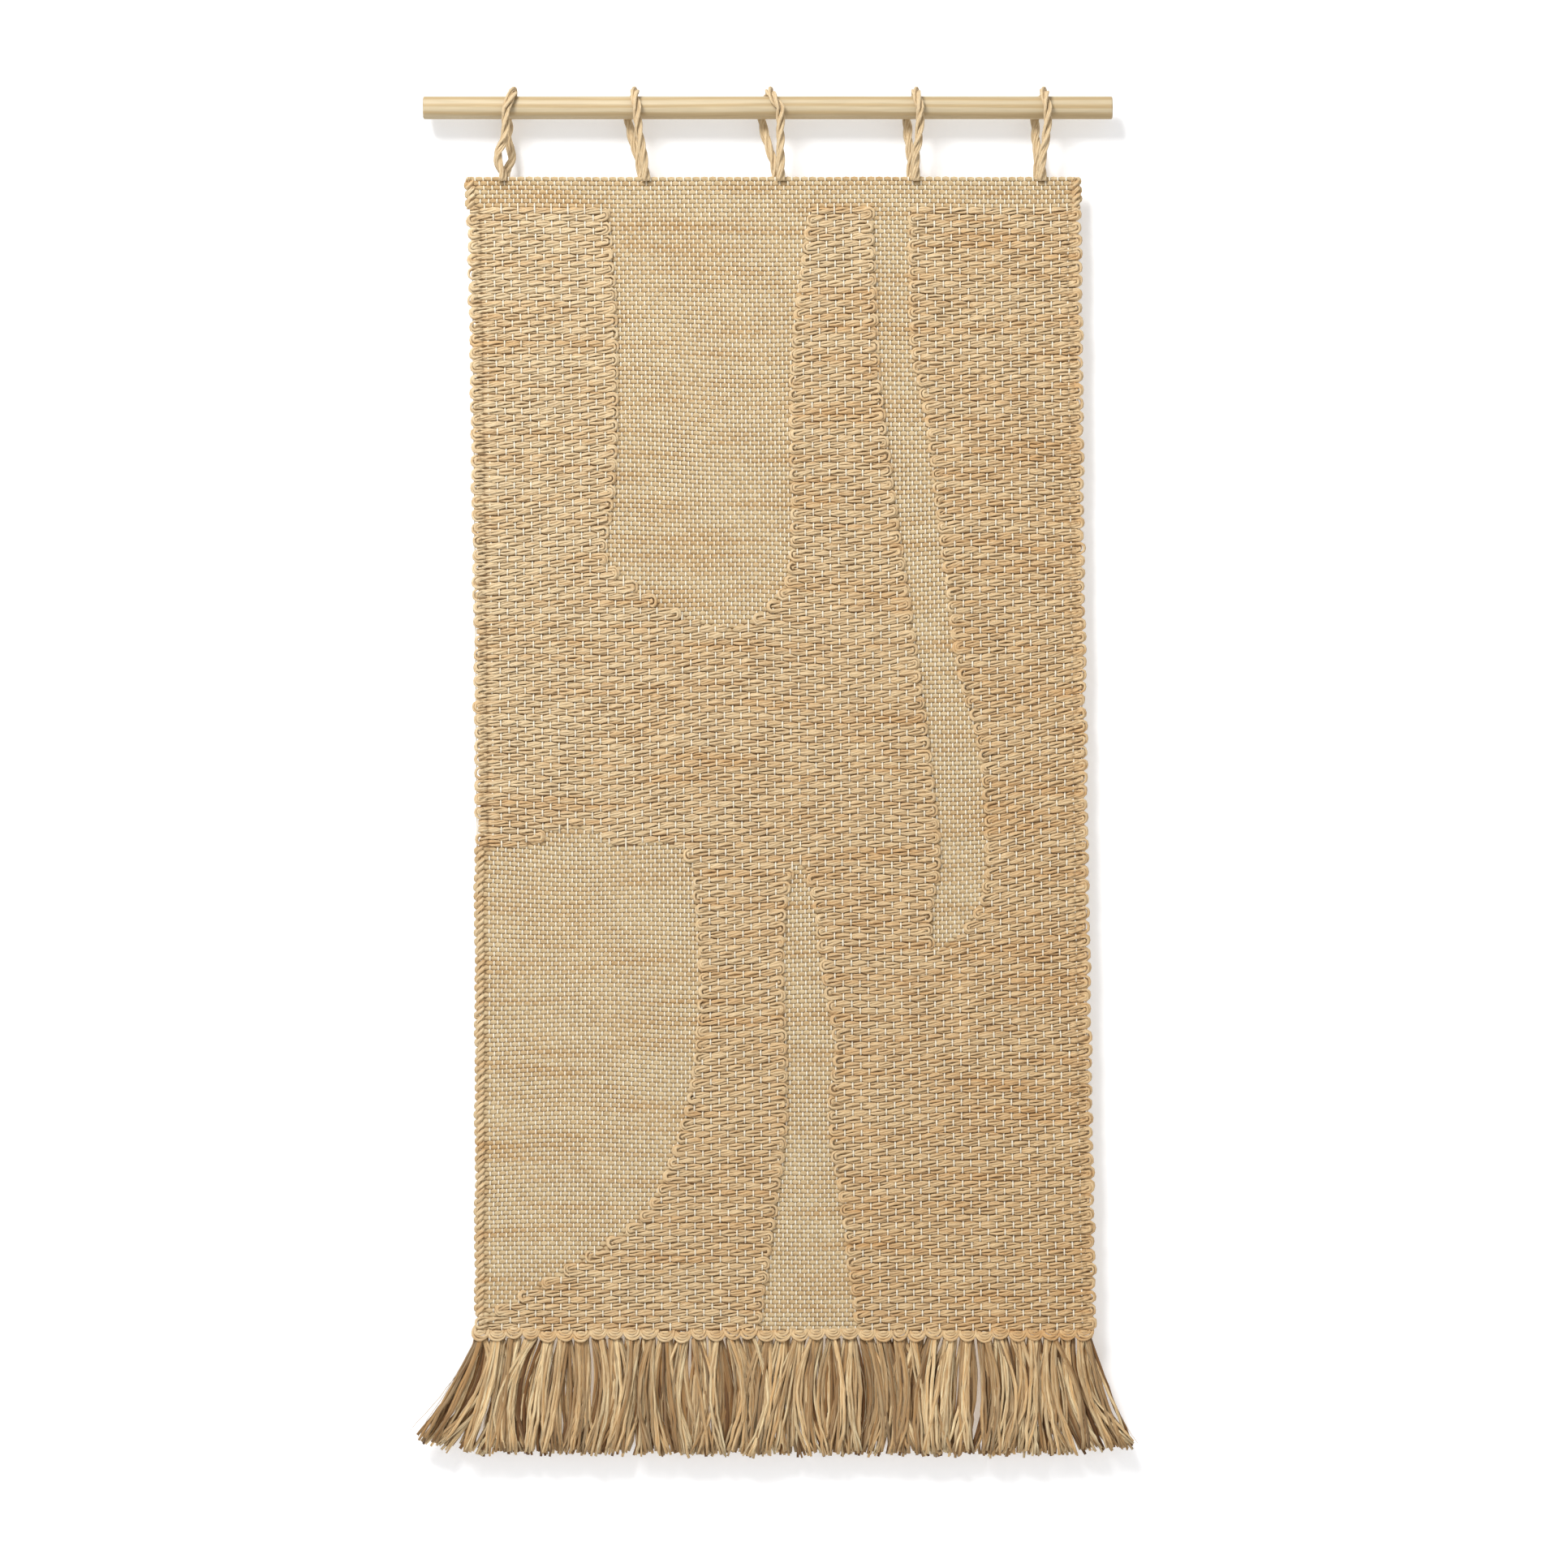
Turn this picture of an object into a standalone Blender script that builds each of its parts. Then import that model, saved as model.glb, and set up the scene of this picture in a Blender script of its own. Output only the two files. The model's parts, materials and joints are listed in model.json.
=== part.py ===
"""A handwoven jute tapestry that hangs from a pine dowel by five corded loops.

Units are metres and +Z is up. The front of the cloth faces -Y and the wall is at +Y.
The origin is the middle of the dowel's axis, where two wall hooks carry it.
"""

import math

import bmesh
import bpy
from mathutils import Matrix, Vector

# The dowel.
DOWEL_LENGTH = 0.600
DOWEL_DIAMETER = 0.020
DOWEL_END_BEVEL = 0.0015

# The woven panel. It has slid a little to the right along the dowel.
PANEL_WIDTH = 0.540
PANEL_HEIGHT = 1.008
PANEL_DROP = 0.060
PANEL_SHIFT = 0.008
HEADING_DEPTH = 0.027
SELVEDGE_WIDTH = 0.010
SELVEDGE_THICKNESS = 0.0076
SELVEDGE_ROUNDING = 0.0024
FLAT_WEAVE_THICKNESS = 0.0036
RELIEF_FRONT = 0.0042
RELIEF_BACK = 0.0026
SEAM_GAP = 0.0003

# The loops that carry the panel. Each leans along the dowel by its own amount.
CORD_DIAMETER = 0.008
CORD_CLEARANCE = 0.0016
LOOP_INSET = 0.0364
LOOP_LEANS = (0.005, -0.006, -0.007, 0.002, 0.004)
LOOP_TWISTS = (-0.006, 0.009, 0.015, 0.010, 0.010)

# The fringe: a row of knots on the warp ends, and a skirt of strands under each knot.
TASSEL_COUNT = 37
KNOT_RADIUS = 0.0040
KNOT_WAIST_RADIUS = 0.0024
SKIRT_CLEARANCE = 0.0025
SKIRT_LENGTH = 0.0992
SKIRT_TOP_WIDTH = 0.0068
SKIRT_GAP = 0.0010
SKIRT_TOP_THICKNESS = 0.0050
SKIRT_THICKNESS = 0.0066
SKIRT_SWELL_LENGTH = 0.022
LEFT_FLARE = math.radians(26)
RIGHT_FLARE = math.radians(12)
FLARE_DECAY = 2.2

# The weaver's cartoon: the pattern is drawn on squares, 52 across and 98 down, which fill
# the field between the selvedges and under the heading. A point is (column, row).
CARTOON_COLUMNS = 52
CARTOON_ROWS = 98
WAIST_TOP_ROW = 36.6
WAIST_BOTTOM_ROW = 57.5
BLADE_FOOT_ROW = 64.0
ARCH_OUTLINE = (
    (11.3, 0), (11.8, 8), (11.8, 17), (11.4, 25), (10.6, 30.5), (12.6, 32.6), (17, 35.4),
    (21.8, 36.9), (25.2, 34.8), (27.2, 30.5), (27.3, 17), (27.9, 9), (29.3, 0),
)
BLADE_OUTLINE = (
    (34.5, 0), (34.9, 14), (36.4, 27), (37.6, 36), (38.7, 45), (39.8, 56), (39, 61),
    (39.5, 64.8), (43.4, 61), (44.1, 55), (43.6, 47), (41.8, 40), (40.6, 31), (39.2, 18),
    (38, 12), (38, 0),
)
LOWER_WINDOW_OUTLINE = (
    (0, 56), (4, 55.4), (6, 53.8), (9.6, 53.9), (11, 55.2), (17.3, 55.7), (18.6, 62),
    (18.7, 71), (17.2, 79.5), (14, 87.3), (7.5, 92), (0, 96.4),
)
STEM_OUTLINE = (
    (23.5, 98), (24.8, 89), (26.1, 79), (25.9, 67), (26.3, 60), (27.5, 57), (28.8, 60),
    (29.6, 67), (30.7, 73), (30, 79), (31.2, 88), (32.3, 98),
)
ARCH_SPINE = ((20, 0), (21.8, WAIST_TOP_ROW))
BLADE_SPINE = ((36.3, 0), (36.4, 13), (39, 30), (39.7, WAIST_TOP_ROW))
BLADE_LOWER_SPINE = ((39.7, WAIST_TOP_ROW), (41.3, 47), (41.9, WAIST_BOTTOM_ROW))
BLADE_FOOT = (40.1, BLADE_FOOT_ROW)
STEM_SPINE = ((27.6, WAIST_BOTTOM_ROW), (28, 75), (28, CARTOON_ROWS))
OUTLINE_STEPS = 3

PANEL_LEFT = PANEL_SHIFT - PANEL_WIDTH / 2
PANEL_RIGHT = PANEL_SHIFT + PANEL_WIDTH / 2
PANEL_TOP = -PANEL_DROP
PANEL_BOTTOM = PANEL_TOP - PANEL_HEIGHT
FIELD_LEFT = PANEL_LEFT + SELVEDGE_WIDTH
FIELD_RIGHT = PANEL_RIGHT - SELVEDGE_WIDTH
FIELD_TOP = PANEL_TOP - HEADING_DEPTH
KNOT_AXIS_Z = PANEL_BOTTOM - SEAM_GAP - KNOT_RADIUS
TASSEL_PITCH = PANEL_WIDTH / TASSEL_COUNT
SKIRT_DROP = KNOT_RADIUS + SKIRT_CLEARANCE


def clear_scene():
    for old in list(bpy.data.objects):
        bpy.data.objects.remove(old, do_unlink=True)


def finish(name, colour, roughness):
    """A plain material with the colour and roughness of one of the yarns or the wood."""
    material = bpy.data.materials.new(name)
    material.use_nodes = True
    shader = material.node_tree.nodes["Principled BSDF"]
    shader.inputs["Base Color"].default_value = (*colour, 1)
    shader.inputs["Roughness"].default_value = roughness
    shader.inputs["Metallic"].default_value = 0
    return material


def joint_empty(name, location, parent=None):
    """An empty on a joint's axis, which carries the pieces that turn about it."""
    empty = bpy.data.objects.new(name, None)
    bpy.context.collection.objects.link(empty)
    empty.parent = parent
    empty.location = location
    return empty


def add_piece(name, data, material, location=(0, 0, 0), parent=None):
    """Links a mesh or curve as a named piece, at a place measured from its parent."""
    piece = bpy.data.objects.new(name, data)
    bpy.context.collection.objects.link(piece)
    piece.data.materials.append(material)
    piece.parent = parent
    piece.location = location
    return piece


def mesh_from(form, name):
    """Stores a closed bmesh as a mesh with its faces pointing out."""
    bmesh.ops.recalc_face_normals(form, faces=form.faces)
    if form.calc_volume(signed=True) < 0:
        bmesh.ops.reverse_faces(form, faces=form.faces)
    mesh = bpy.data.meshes.new(name)
    form.to_mesh(mesh)
    form.free()
    return mesh


def cartoon_point(column, row):
    """The place on the panel, as (x, z), of a point on the weaver's cartoon."""
    x = FIELD_LEFT + (FIELD_RIGHT - FIELD_LEFT) * column / CARTOON_COLUMNS
    z = FIELD_TOP + (PANEL_BOTTOM - FIELD_TOP) * row / CARTOON_ROWS
    return Vector((x, z))


def smooth_outline(points):
    """A rounded line through the points, from the first to the last, as (x, z) pairs."""
    placed = [cartoon_point(*point) for point in points]
    padded = [2 * placed[0] - placed[1], *placed, 2 * placed[-1] - placed[-2]]
    outline = []
    for before, start, end, after in zip(padded, padded[1:], padded[2:], padded[3:]):
        for step in range(OUTLINE_STEPS):
            t = step / OUTLINE_STEPS
            bend = 2 * before - 5 * start + 4 * end - after
            twist = 3 * start - 3 * end + after - before
            outline.append(start + 0.5 * t * (end - before + t * (bend + t * twist)))
    outline.append(placed[-1])
    return outline


def offset_outline(outline, distance):
    """Moves each side of a closed outline outwards, or inwards where distance is negative."""
    sides = list(zip(outline, outline[1:] + outline[:1]))
    turning = sum(a.x * b.y - b.x * a.y for a, b in sides)
    outward = 1 if turning > 0 else -1
    normals = []
    for start, end in sides:
        along = (end - start).normalized()
        normals.append(outward * Vector((along.y, -along.x)))
    moved = []
    for index, corner in enumerate(outline):
        before = normals[index - 1]
        after = normals[index]
        moved.append(corner + (before + after) * distance / (1 + before.dot(after)))
    return moved


def slab(name, outline, front, back):
    """A flat slab of cloth: an (x, z) outline, from front to back across its thickness."""
    form = bmesh.new()
    corners = [form.verts.new((point.x, front, point.y)) for point in outline]
    face = form.faces.new(corners)
    extruded = bmesh.ops.extrude_face_region(form, geom=[face])
    far_side = [part for part in extruded["geom"] if isinstance(part, bmesh.types.BMVert)]
    bmesh.ops.translate(form, verts=far_side, vec=(0, back - front, 0))
    return mesh_from(form, name)


def rounded_bar(name, size, centre, rounding):
    """A long bar whose upright edges are rounded."""
    form = bmesh.new()
    bmesh.ops.create_cube(form, size=1)
    bmesh.ops.scale(form, vec=size, verts=form.verts)
    bmesh.ops.translate(form, vec=centre, verts=form.verts)
    upright = [edge for edge in form.edges if edge.calc_length() > 0.99 * size[2]]
    bmesh.ops.bevel(
        form, geom=upright, offset=rounding, segments=3, profile=0.5, affect="EDGES", material=-1
    )
    return mesh_from(form, name)


def build_dowel():
    """A turned pine rod with lightly eased ends."""
    form = bmesh.new()
    radius = DOWEL_DIAMETER / 2
    bmesh.ops.create_cone(
        form, cap_ends=True, segments=48, radius1=radius, radius2=radius, depth=DOWEL_LENGTH
    )
    rims = [edge for edge in form.edges if abs(edge.verts[0].co.z - edge.verts[1].co.z) < 1e-6]
    bmesh.ops.bevel(
        form, geom=rims, offset=DOWEL_END_BEVEL, segments=3, profile=0.5, affect="EDGES", material=-1
    )
    along_x = Matrix.Rotation(math.radians(90), 3, "Y")
    bmesh.ops.rotate(form, verts=form.verts, cent=(0, 0, 0), matrix=along_x)
    mesh = mesh_from(form, "dowel")
    mesh.shade_smooth()
    mesh.set_sharp_from_angle(angle=math.radians(35))
    return add_piece("dowel", mesh, PINE)


def flat_weave(name, outline):
    """One patch of plain weave, thin and level, that stops a seam short of its neighbours."""
    inset = offset_outline(outline, -SEAM_GAP / 2)
    mesh = slab(name, inset, -FLAT_WEAVE_THICKNESS / 2, FLAT_WEAVE_THICKNESS / 2)
    return add_piece(name, mesh, FLAT_JUTE, parent=PANEL_AXIS)


def window_cutter(name, outline):
    """The hole that a window leaves in the relief, deeper than the relief is thick."""
    outset = offset_outline(outline, SEAM_GAP / 2)
    mesh = slab(name, outset, -2 * RELIEF_FRONT, 2 * RELIEF_BACK)
    cutter = add_piece(name, mesh, FLAT_JUTE, parent=PANEL_AXIS)
    cutter.hide_render = True
    cutter.display_type = "WIRE"
    return cutter


def relief_field(name, corners, cutters):
    """One bobbin's run of thick floating weft, cut back where it meets the windows."""
    outline = offset_outline([cartoon_point(*corner) for corner in corners], -SEAM_GAP / 2)
    mesh = slab(name, outline, -RELIEF_FRONT, RELIEF_BACK)
    field = add_piece(name, mesh, RELIEF_JUTE, parent=PANEL_AXIS)
    for cutter in cutters:
        cut = field.modifiers.new(cutter.name, "BOOLEAN")
        cut.operation = "DIFFERENCE"
        cut.solver = "EXACT"
        cut.object = cutter
    return field


def build_heading():
    """The plain woven band along the top, which the loops are sewn into."""
    left = FIELD_LEFT + SEAM_GAP / 2
    right = FIELD_RIGHT - SEAM_GAP / 2
    bottom = FIELD_TOP + SEAM_GAP / 2
    corners = [(left, PANEL_TOP), (right, PANEL_TOP), (right, bottom), (left, bottom)]
    outline = [Vector(corner) for corner in corners]
    mesh = slab("heading_band", outline, -FLAT_WEAVE_THICKNESS / 2, FLAT_WEAVE_THICKNESS / 2)
    return add_piece("heading_band", mesh, FLAT_JUTE, parent=PANEL_AXIS)


def build_weave():
    """The four flat windows and the six relief fields that fill the rest of the panel."""
    outlines = {
        "window_arch": smooth_outline(ARCH_OUTLINE),
        "window_blade": smooth_outline(BLADE_OUTLINE),
        "window_lower_left": smooth_outline(LOWER_WINDOW_OUTLINE),
        "window_stem": smooth_outline(STEM_OUTLINE),
    }
    cutters = {}
    for name, outline in outlines.items():
        flat_weave(name, outline)
        cutters[name] = window_cutter(name.replace("window", "cutter"), outline)
    arch = cutters["window_arch"]
    blade = cutters["window_blade"]
    lower = cutters["window_lower_left"]
    stem = cutters["window_stem"]
    right = CARTOON_COLUMNS
    foot = CARTOON_ROWS

    left_corners = ((0, 0), *ARCH_SPINE, (0, WAIST_TOP_ROW))
    relief_field("relief_left_column", left_corners, [arch])
    centre_corners = (*BLADE_SPINE, *reversed(ARCH_SPINE))
    relief_field("relief_centre_column", centre_corners, [arch, blade])
    blade_side = (*BLADE_SPINE, *BLADE_LOWER_SPINE[1:], BLADE_FOOT)
    right_corners = (*blade_side, (right, BLADE_FOOT_ROW), (right, 0))
    relief_field("relief_right_column", right_corners, [blade])
    waist_corners = ((0, WAIST_TOP_ROW), *BLADE_LOWER_SPINE, (0, WAIST_BOTTOM_ROW))
    relief_field("relief_waist", waist_corners, [arch, blade, lower, stem])
    leg_corners = ((0, WAIST_BOTTOM_ROW), *STEM_SPINE, (0, foot))
    relief_field("relief_leg", leg_corners, [lower, stem])
    lower_corners = (
        BLADE_LOWER_SPINE[-1], BLADE_FOOT, (right, BLADE_FOOT_ROW), (right, foot),
        *reversed(STEM_SPINE),
    )
    relief_field("relief_lower_right", lower_corners, [blade, stem])


def build_selvedges():
    """The two corded edges, where the thick weft turns back."""
    width = SELVEDGE_WIDTH - SEAM_GAP / 2
    size = (width, SELVEDGE_THICKNESS, PANEL_HEIGHT)
    middle_z = (PANEL_TOP + PANEL_BOTTOM) / 2
    middle_y = (RELIEF_BACK - RELIEF_FRONT) / 2
    sides = (("left", PANEL_LEFT + width / 2), ("right", PANEL_RIGHT - width / 2))
    for side, middle_x in sides:
        name = f"selvedge_{side}"
        mesh = rounded_bar(name, size, (middle_x, middle_y, middle_z), SELVEDGE_ROUNDING)
        add_piece(name, mesh, RELIEF_JUTE, parent=PANEL_AXIS)


def cord(name, points, radii, thickness, bevel_resolution, material, location, parent):
    """A closed tube along the points, thicker or thinner at each by its own radius."""
    curve = bpy.data.curves.new(name, "CURVE")
    curve.dimensions = "3D"
    curve.bevel_depth = thickness / 2
    curve.bevel_resolution = bevel_resolution
    curve.use_fill_caps = True
    spline = curve.splines.new("POLY")
    spline.points.add(len(points) - 1)
    for knot, point, radius in zip(spline.points, points, radii):
        knot.co = (*point, 1)
        knot.radius = radius
    return add_piece(name, curve, material, location, parent)


def loop_route(lean, twist):
    """Up from the heading in front of the dowel, over it, and down behind it."""
    ring = DOWEL_DIAMETER / 2 + CORD_CLEARANCE + CORD_DIAMETER / 2
    foot_y = CORD_DIAMETER / 2 + SEAM_GAP
    foot_z = PANEL_TOP + SEAM_GAP
    foot_angle = math.atan2(foot_y, -foot_z)
    touch_angle = foot_angle + math.acos(ring / math.hypot(foot_y, foot_z))
    touch_y = ring * math.sin(touch_angle)
    touch_z = -ring * math.cos(touch_angle)
    front_x = lean + twist / 2
    back_x = lean - twist / 2
    leg_steps = 5
    arc_steps = 20

    front = []
    back = []
    for step in range(leg_steps):
        rise = step / leg_steps
        drift = rise * rise * (3 - 2 * rise)
        y = foot_y + (touch_y - foot_y) * rise
        z = foot_z + (touch_z - foot_z) * rise
        front.append((front_x * drift, -y, z))
        back.append((back_x * drift, y, z))
    over = []
    for step in range(arc_steps + 1):
        share = step / arc_steps
        angle = touch_angle + (2 * math.pi - 2 * touch_angle) * share
        x = front_x + (back_x - front_x) * share
        over.append((x, -ring * math.sin(angle), -ring * math.cos(angle)))
    return front + over + back[::-1]


def build_loops():
    """Five loops of jute cord round the dowel, each with its origin where it is sewn in."""
    pitch = (PANEL_WIDTH - 2 * LOOP_INSET) / (len(LOOP_LEANS) - 1)
    for index, (lean, twist) in enumerate(zip(LOOP_LEANS, LOOP_TWISTS)):
        base = Vector((PANEL_LEFT + LOOP_INSET + index * pitch, 0, PANEL_TOP))
        route = [Vector(point) - Vector((0, 0, PANEL_TOP)) for point in loop_route(lean, twist)]
        name = f"hanging_loop_{index + 1}"
        cord(name, route, [1] * len(route), CORD_DIAMETER, 3, LOOP_JUTE, base, PANEL_AXIS)


def build_knot_row():
    """The row of lark's head knots on the warp ends, as beads round the fringe's axis."""
    steps = 4 * TASSEL_COUNT
    swell = (KNOT_RADIUS - KNOT_WAIST_RADIUS) / 2
    middle = (KNOT_RADIUS + KNOT_WAIST_RADIUS) / 2
    points = []
    radii = []
    for step in range(steps + 1):
        turn = 2 * math.pi * step / 4
        points.append((PANEL_LEFT + PANEL_WIDTH * step / steps, 0, 0))
        radii.append((middle - swell * math.cos(turn)) / KNOT_RADIUS)
    cord("knot_row", points, radii, 2 * KNOT_RADIUS, 2, FRINGE_JUTE, (0, 0, 0), FRINGE_AXIS)


def tassel_lean(index):
    """How far a tassel leans from upright: the outer ones splay past the panel's edges."""
    from_left = index
    from_right = TASSEL_COUNT - 1 - index
    leftwards = LEFT_FLARE * math.exp(-from_left / FLARE_DECAY)
    rightwards = RIGHT_FLARE * math.exp(-from_right / FLARE_DECAY)
    return leftwards - rightwards


def skirt_mesh(name):
    """A bundle of strands, gathered under the knot and swelling to its full width."""
    full_width = TASSEL_PITCH - SKIRT_GAP
    sections = (
        (SKIRT_DROP, SKIRT_TOP_WIDTH, SKIRT_TOP_THICKNESS),
        (SKIRT_DROP + SKIRT_SWELL_LENGTH, full_width, SKIRT_THICKNESS),
        (SKIRT_DROP + SKIRT_LENGTH, full_width, SKIRT_TOP_THICKNESS),
    )
    form = bmesh.new()
    rings = []
    for depth, width, thickness in sections:
        flat = bmesh.ops.create_circle(form, segments=12, radius=0.5)
        bmesh.ops.scale(form, vec=(width, thickness, 1), verts=flat["verts"])
        bmesh.ops.translate(form, vec=(0, 0, -depth), verts=flat["verts"])
        rings.append(flat["verts"])
    for upper, lower in zip(rings, rings[1:]):
        edges = [edge for vert in upper + lower for edge in vert.link_edges]
        bmesh.ops.bridge_loops(form, edges=list(set(edges) & ring_edges(upper, lower)))
    for ring in (rings[0], rings[-1]):
        form.faces.new(ring)
    return mesh_from(form, name)


def ring_edges(*rings):
    """The edges that lie within one ring each, and not those that join two rings."""
    found = set()
    for ring in rings:
        members = set(ring)
        for vert in ring:
            found.update(edge for edge in vert.link_edges if edge.other_vert(vert) in members)
    return found


def build_tassels():
    """The skirts under the knots, each hung at its own knot's centre."""
    for index in range(TASSEL_COUNT):
        name = f"fringe_tassel_{index + 1:02d}"
        x = PANEL_LEFT + (index + 0.5) * TASSEL_PITCH
        tassel = add_piece(name, skirt_mesh(name), FRINGE_JUTE, (x, 0, 0), FRINGE_AXIS)
        tassel.rotation_euler = (0, tassel_lean(index), 0)


clear_scene()
PINE = finish("pine", (0.74, 0.56, 0.33), 0.55)
FLAT_JUTE = finish("flat_weave_jute", (0.64, 0.47, 0.27), 0.85)
RELIEF_JUTE = finish("relief_jute", (0.60, 0.41, 0.21), 0.85)
LOOP_JUTE = finish("loop_cord", (0.55, 0.38, 0.19), 0.85)
FRINGE_JUTE = finish("fringe_jute", (0.58, 0.38, 0.19), 0.85)
PANEL_AXIS = joint_empty("panel_swing_axis", (0, 0, 0))
FRINGE_AXIS = joint_empty("fringe_swing_axis", (0, 0, KNOT_AXIS_Z), PANEL_AXIS)

build_dowel()
build_heading()
build_weave()
build_selvedges()
build_loops()
build_knot_row()
build_tassels()
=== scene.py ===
"""A handwoven jute tapestry on a pine dowel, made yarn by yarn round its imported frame."""

import json
import math

import bmesh
import bpy
import numpy as np
from mathutils import Matrix, Vector


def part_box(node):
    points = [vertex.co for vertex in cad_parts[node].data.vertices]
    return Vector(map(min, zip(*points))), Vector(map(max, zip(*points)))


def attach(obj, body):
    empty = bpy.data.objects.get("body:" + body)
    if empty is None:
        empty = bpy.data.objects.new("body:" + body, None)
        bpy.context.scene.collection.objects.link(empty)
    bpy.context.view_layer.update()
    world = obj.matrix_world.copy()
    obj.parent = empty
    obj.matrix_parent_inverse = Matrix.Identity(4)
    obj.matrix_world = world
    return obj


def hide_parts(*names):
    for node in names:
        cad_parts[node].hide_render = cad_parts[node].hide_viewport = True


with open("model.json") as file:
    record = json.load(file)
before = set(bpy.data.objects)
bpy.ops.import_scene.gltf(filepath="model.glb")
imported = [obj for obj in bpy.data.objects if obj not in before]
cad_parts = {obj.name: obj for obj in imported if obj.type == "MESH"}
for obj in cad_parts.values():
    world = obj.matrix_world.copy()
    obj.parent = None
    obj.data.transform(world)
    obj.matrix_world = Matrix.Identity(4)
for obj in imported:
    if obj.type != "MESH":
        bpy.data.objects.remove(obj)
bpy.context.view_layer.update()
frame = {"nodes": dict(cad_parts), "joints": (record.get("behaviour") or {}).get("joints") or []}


# ------------------------------------ the dowel
# A stock pine rod, turned and sanded, and left bare. The grain runs along it in fine, slightly
# wavy lines round a heart that lay outside the rod, and the sawn ends are eased by hand.

dowel_low, dowel_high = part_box("dowel")
dowel_length = dowel_high[0] - dowel_low[0]
dowel_radius = (dowel_high[2] - dowel_low[2]) / 2
dowel_end_easing = 0.0015
dowel_rim_angle = math.radians(40)


def placed(name, data):
    """A new object of this data, linked into the scene."""
    made = bpy.data.objects.new(name, data)
    bpy.context.collection.objects.link(made)
    return made


def object_from(form, name):
    """The object that a finished bmesh becomes."""
    mesh = bpy.data.meshes.new(name)
    form.to_mesh(mesh)
    form.free()
    return placed(name, mesh)


rod = bmesh.new()
bmesh.ops.create_cone(
    rod, cap_ends=True, segments=72, radius1=dowel_radius, radius2=dowel_radius, depth=dowel_length
)
rims = [edge for edge in rod.edges if abs(edge.verts[0].co.z - edge.verts[1].co.z) < 1e-6]
bmesh.ops.bevel(
    rod, geom=rims, offset=dowel_end_easing, segments=4, profile=0.5, affect="EDGES", material=-1
)
bmesh.ops.rotate(rod, verts=rod.verts, cent=(0, 0, 0), matrix=Matrix.Rotation(math.pi / 2, 3, "Y"))
pine_dowel = object_from(rod, "pine_dowel")
pine_dowel.data.shade_smooth()
pine_dowel.data.set_sharp_from_angle(angle=dowel_rim_angle)


def new_material(name, roughness):
    """A plain rough material, with its nodes, the call that links them, and its shader."""
    material = bpy.data.materials.new(name)
    material.use_nodes = True
    nodes = material.node_tree.nodes
    shader = nodes["Principled BSDF"]
    shader.inputs["Roughness"].default_value = roughness
    shader.inputs["Specular IOR Level"].default_value = 0.3
    return material, nodes, material.node_tree.links.new, shader


def node(nodes, kind, **settings):
    """A shader node with its settings, where a key that names a socket sets its value."""
    made = nodes.new(f"ShaderNode{kind}")
    for key, value in settings.items():
        if hasattr(made, key):
            setattr(made, key, value)
        else:
            made.inputs[key.replace("_", " ")].default_value = value
    return made


pine, pine_nodes, pine_link, pine_shader = new_material("pine", 0.52)
pine_place = node(pine_nodes, "TexCoord")
pine_heart = node(pine_nodes, "Mapping", Location=(0, 0.018, 0.031), Scale=(0.05, 1, 1))
pine_rings = node(
    pine_nodes, "TexWave", wave_type="RINGS", rings_direction="X", Scale=52, Distortion=8,
    Detail=3, Detail_Scale=0.6,
)
pine_flecks = node(pine_nodes, "TexNoise", Scale=900, Detail=3, Roughness=0.6)
pine_stretch = node(pine_nodes, "Mapping", Scale=(0.03, 1, 1))
pine_grain = node(pine_nodes, "ValToRGB")
pine_early, pine_late = pine_grain.color_ramp.elements
pine_early.position = 0.25
pine_early.color = (0.62, 0.505, 0.325, 1)
pine_late.position = 0.95
pine_late.color = (0.52, 0.38, 0.20, 1)
pine_tint = node(pine_nodes, "Mix", data_type="RGBA", blend_type="MULTIPLY", Factor=0.35)
pine_bump = node(pine_nodes, "Bump", Strength=0.12, Distance=0.0004)
pine_link(pine_place.outputs["Object"], pine_heart.inputs["Vector"])
pine_link(pine_heart.outputs[0], pine_rings.inputs["Vector"])
pine_link(pine_place.outputs["Object"], pine_stretch.inputs["Vector"])
pine_link(pine_stretch.outputs[0], pine_flecks.inputs["Vector"])
pine_link(pine_rings.outputs["Fac"], pine_grain.inputs["Fac"])
pine_link(pine_grain.outputs["Color"], pine_tint.inputs[6])
pine_link(pine_flecks.outputs["Fac"], pine_tint.inputs[7])
pine_link(pine_tint.outputs[2], pine_shader.inputs["Base Color"])
pine_link(pine_flecks.outputs["Fac"], pine_bump.inputs["Height"])
pine_link(pine_bump.outputs[0], pine_shader.inputs["Normal"])

pine_dowel.data.materials.append(pine)
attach(pine_dowel, "dowel")
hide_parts("dowel")


# ------------------------------------ the cotton warp
# Unbleached cotton ends run the whole height of the cloth. In the flat weave each shows as a
# short dash over every other row, and in the relief only one end in four ties a row down.

panel_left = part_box("selvedge_left")[0][0]
panel_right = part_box("selvedge_right")[1][0]
panel_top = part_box("heading_band")[1][2]
panel_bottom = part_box("selvedge_left")[0][2]
panel_width = panel_right - panel_left
panel_height = panel_top - panel_bottom
panel_middle = (panel_left + panel_right) / 2
field_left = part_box("selvedge_left")[1][0]
field_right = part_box("selvedge_right")[0][0]
field_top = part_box("heading_band")[0][2]

flat_fields = ("heading_band", "window_arch", "window_blade", "window_lower_left", "window_stem")
relief_fields = (
    "relief_left_column", "relief_centre_column", "relief_right_column", "relief_waist",
    "relief_leg", "relief_lower_right",
)

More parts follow.
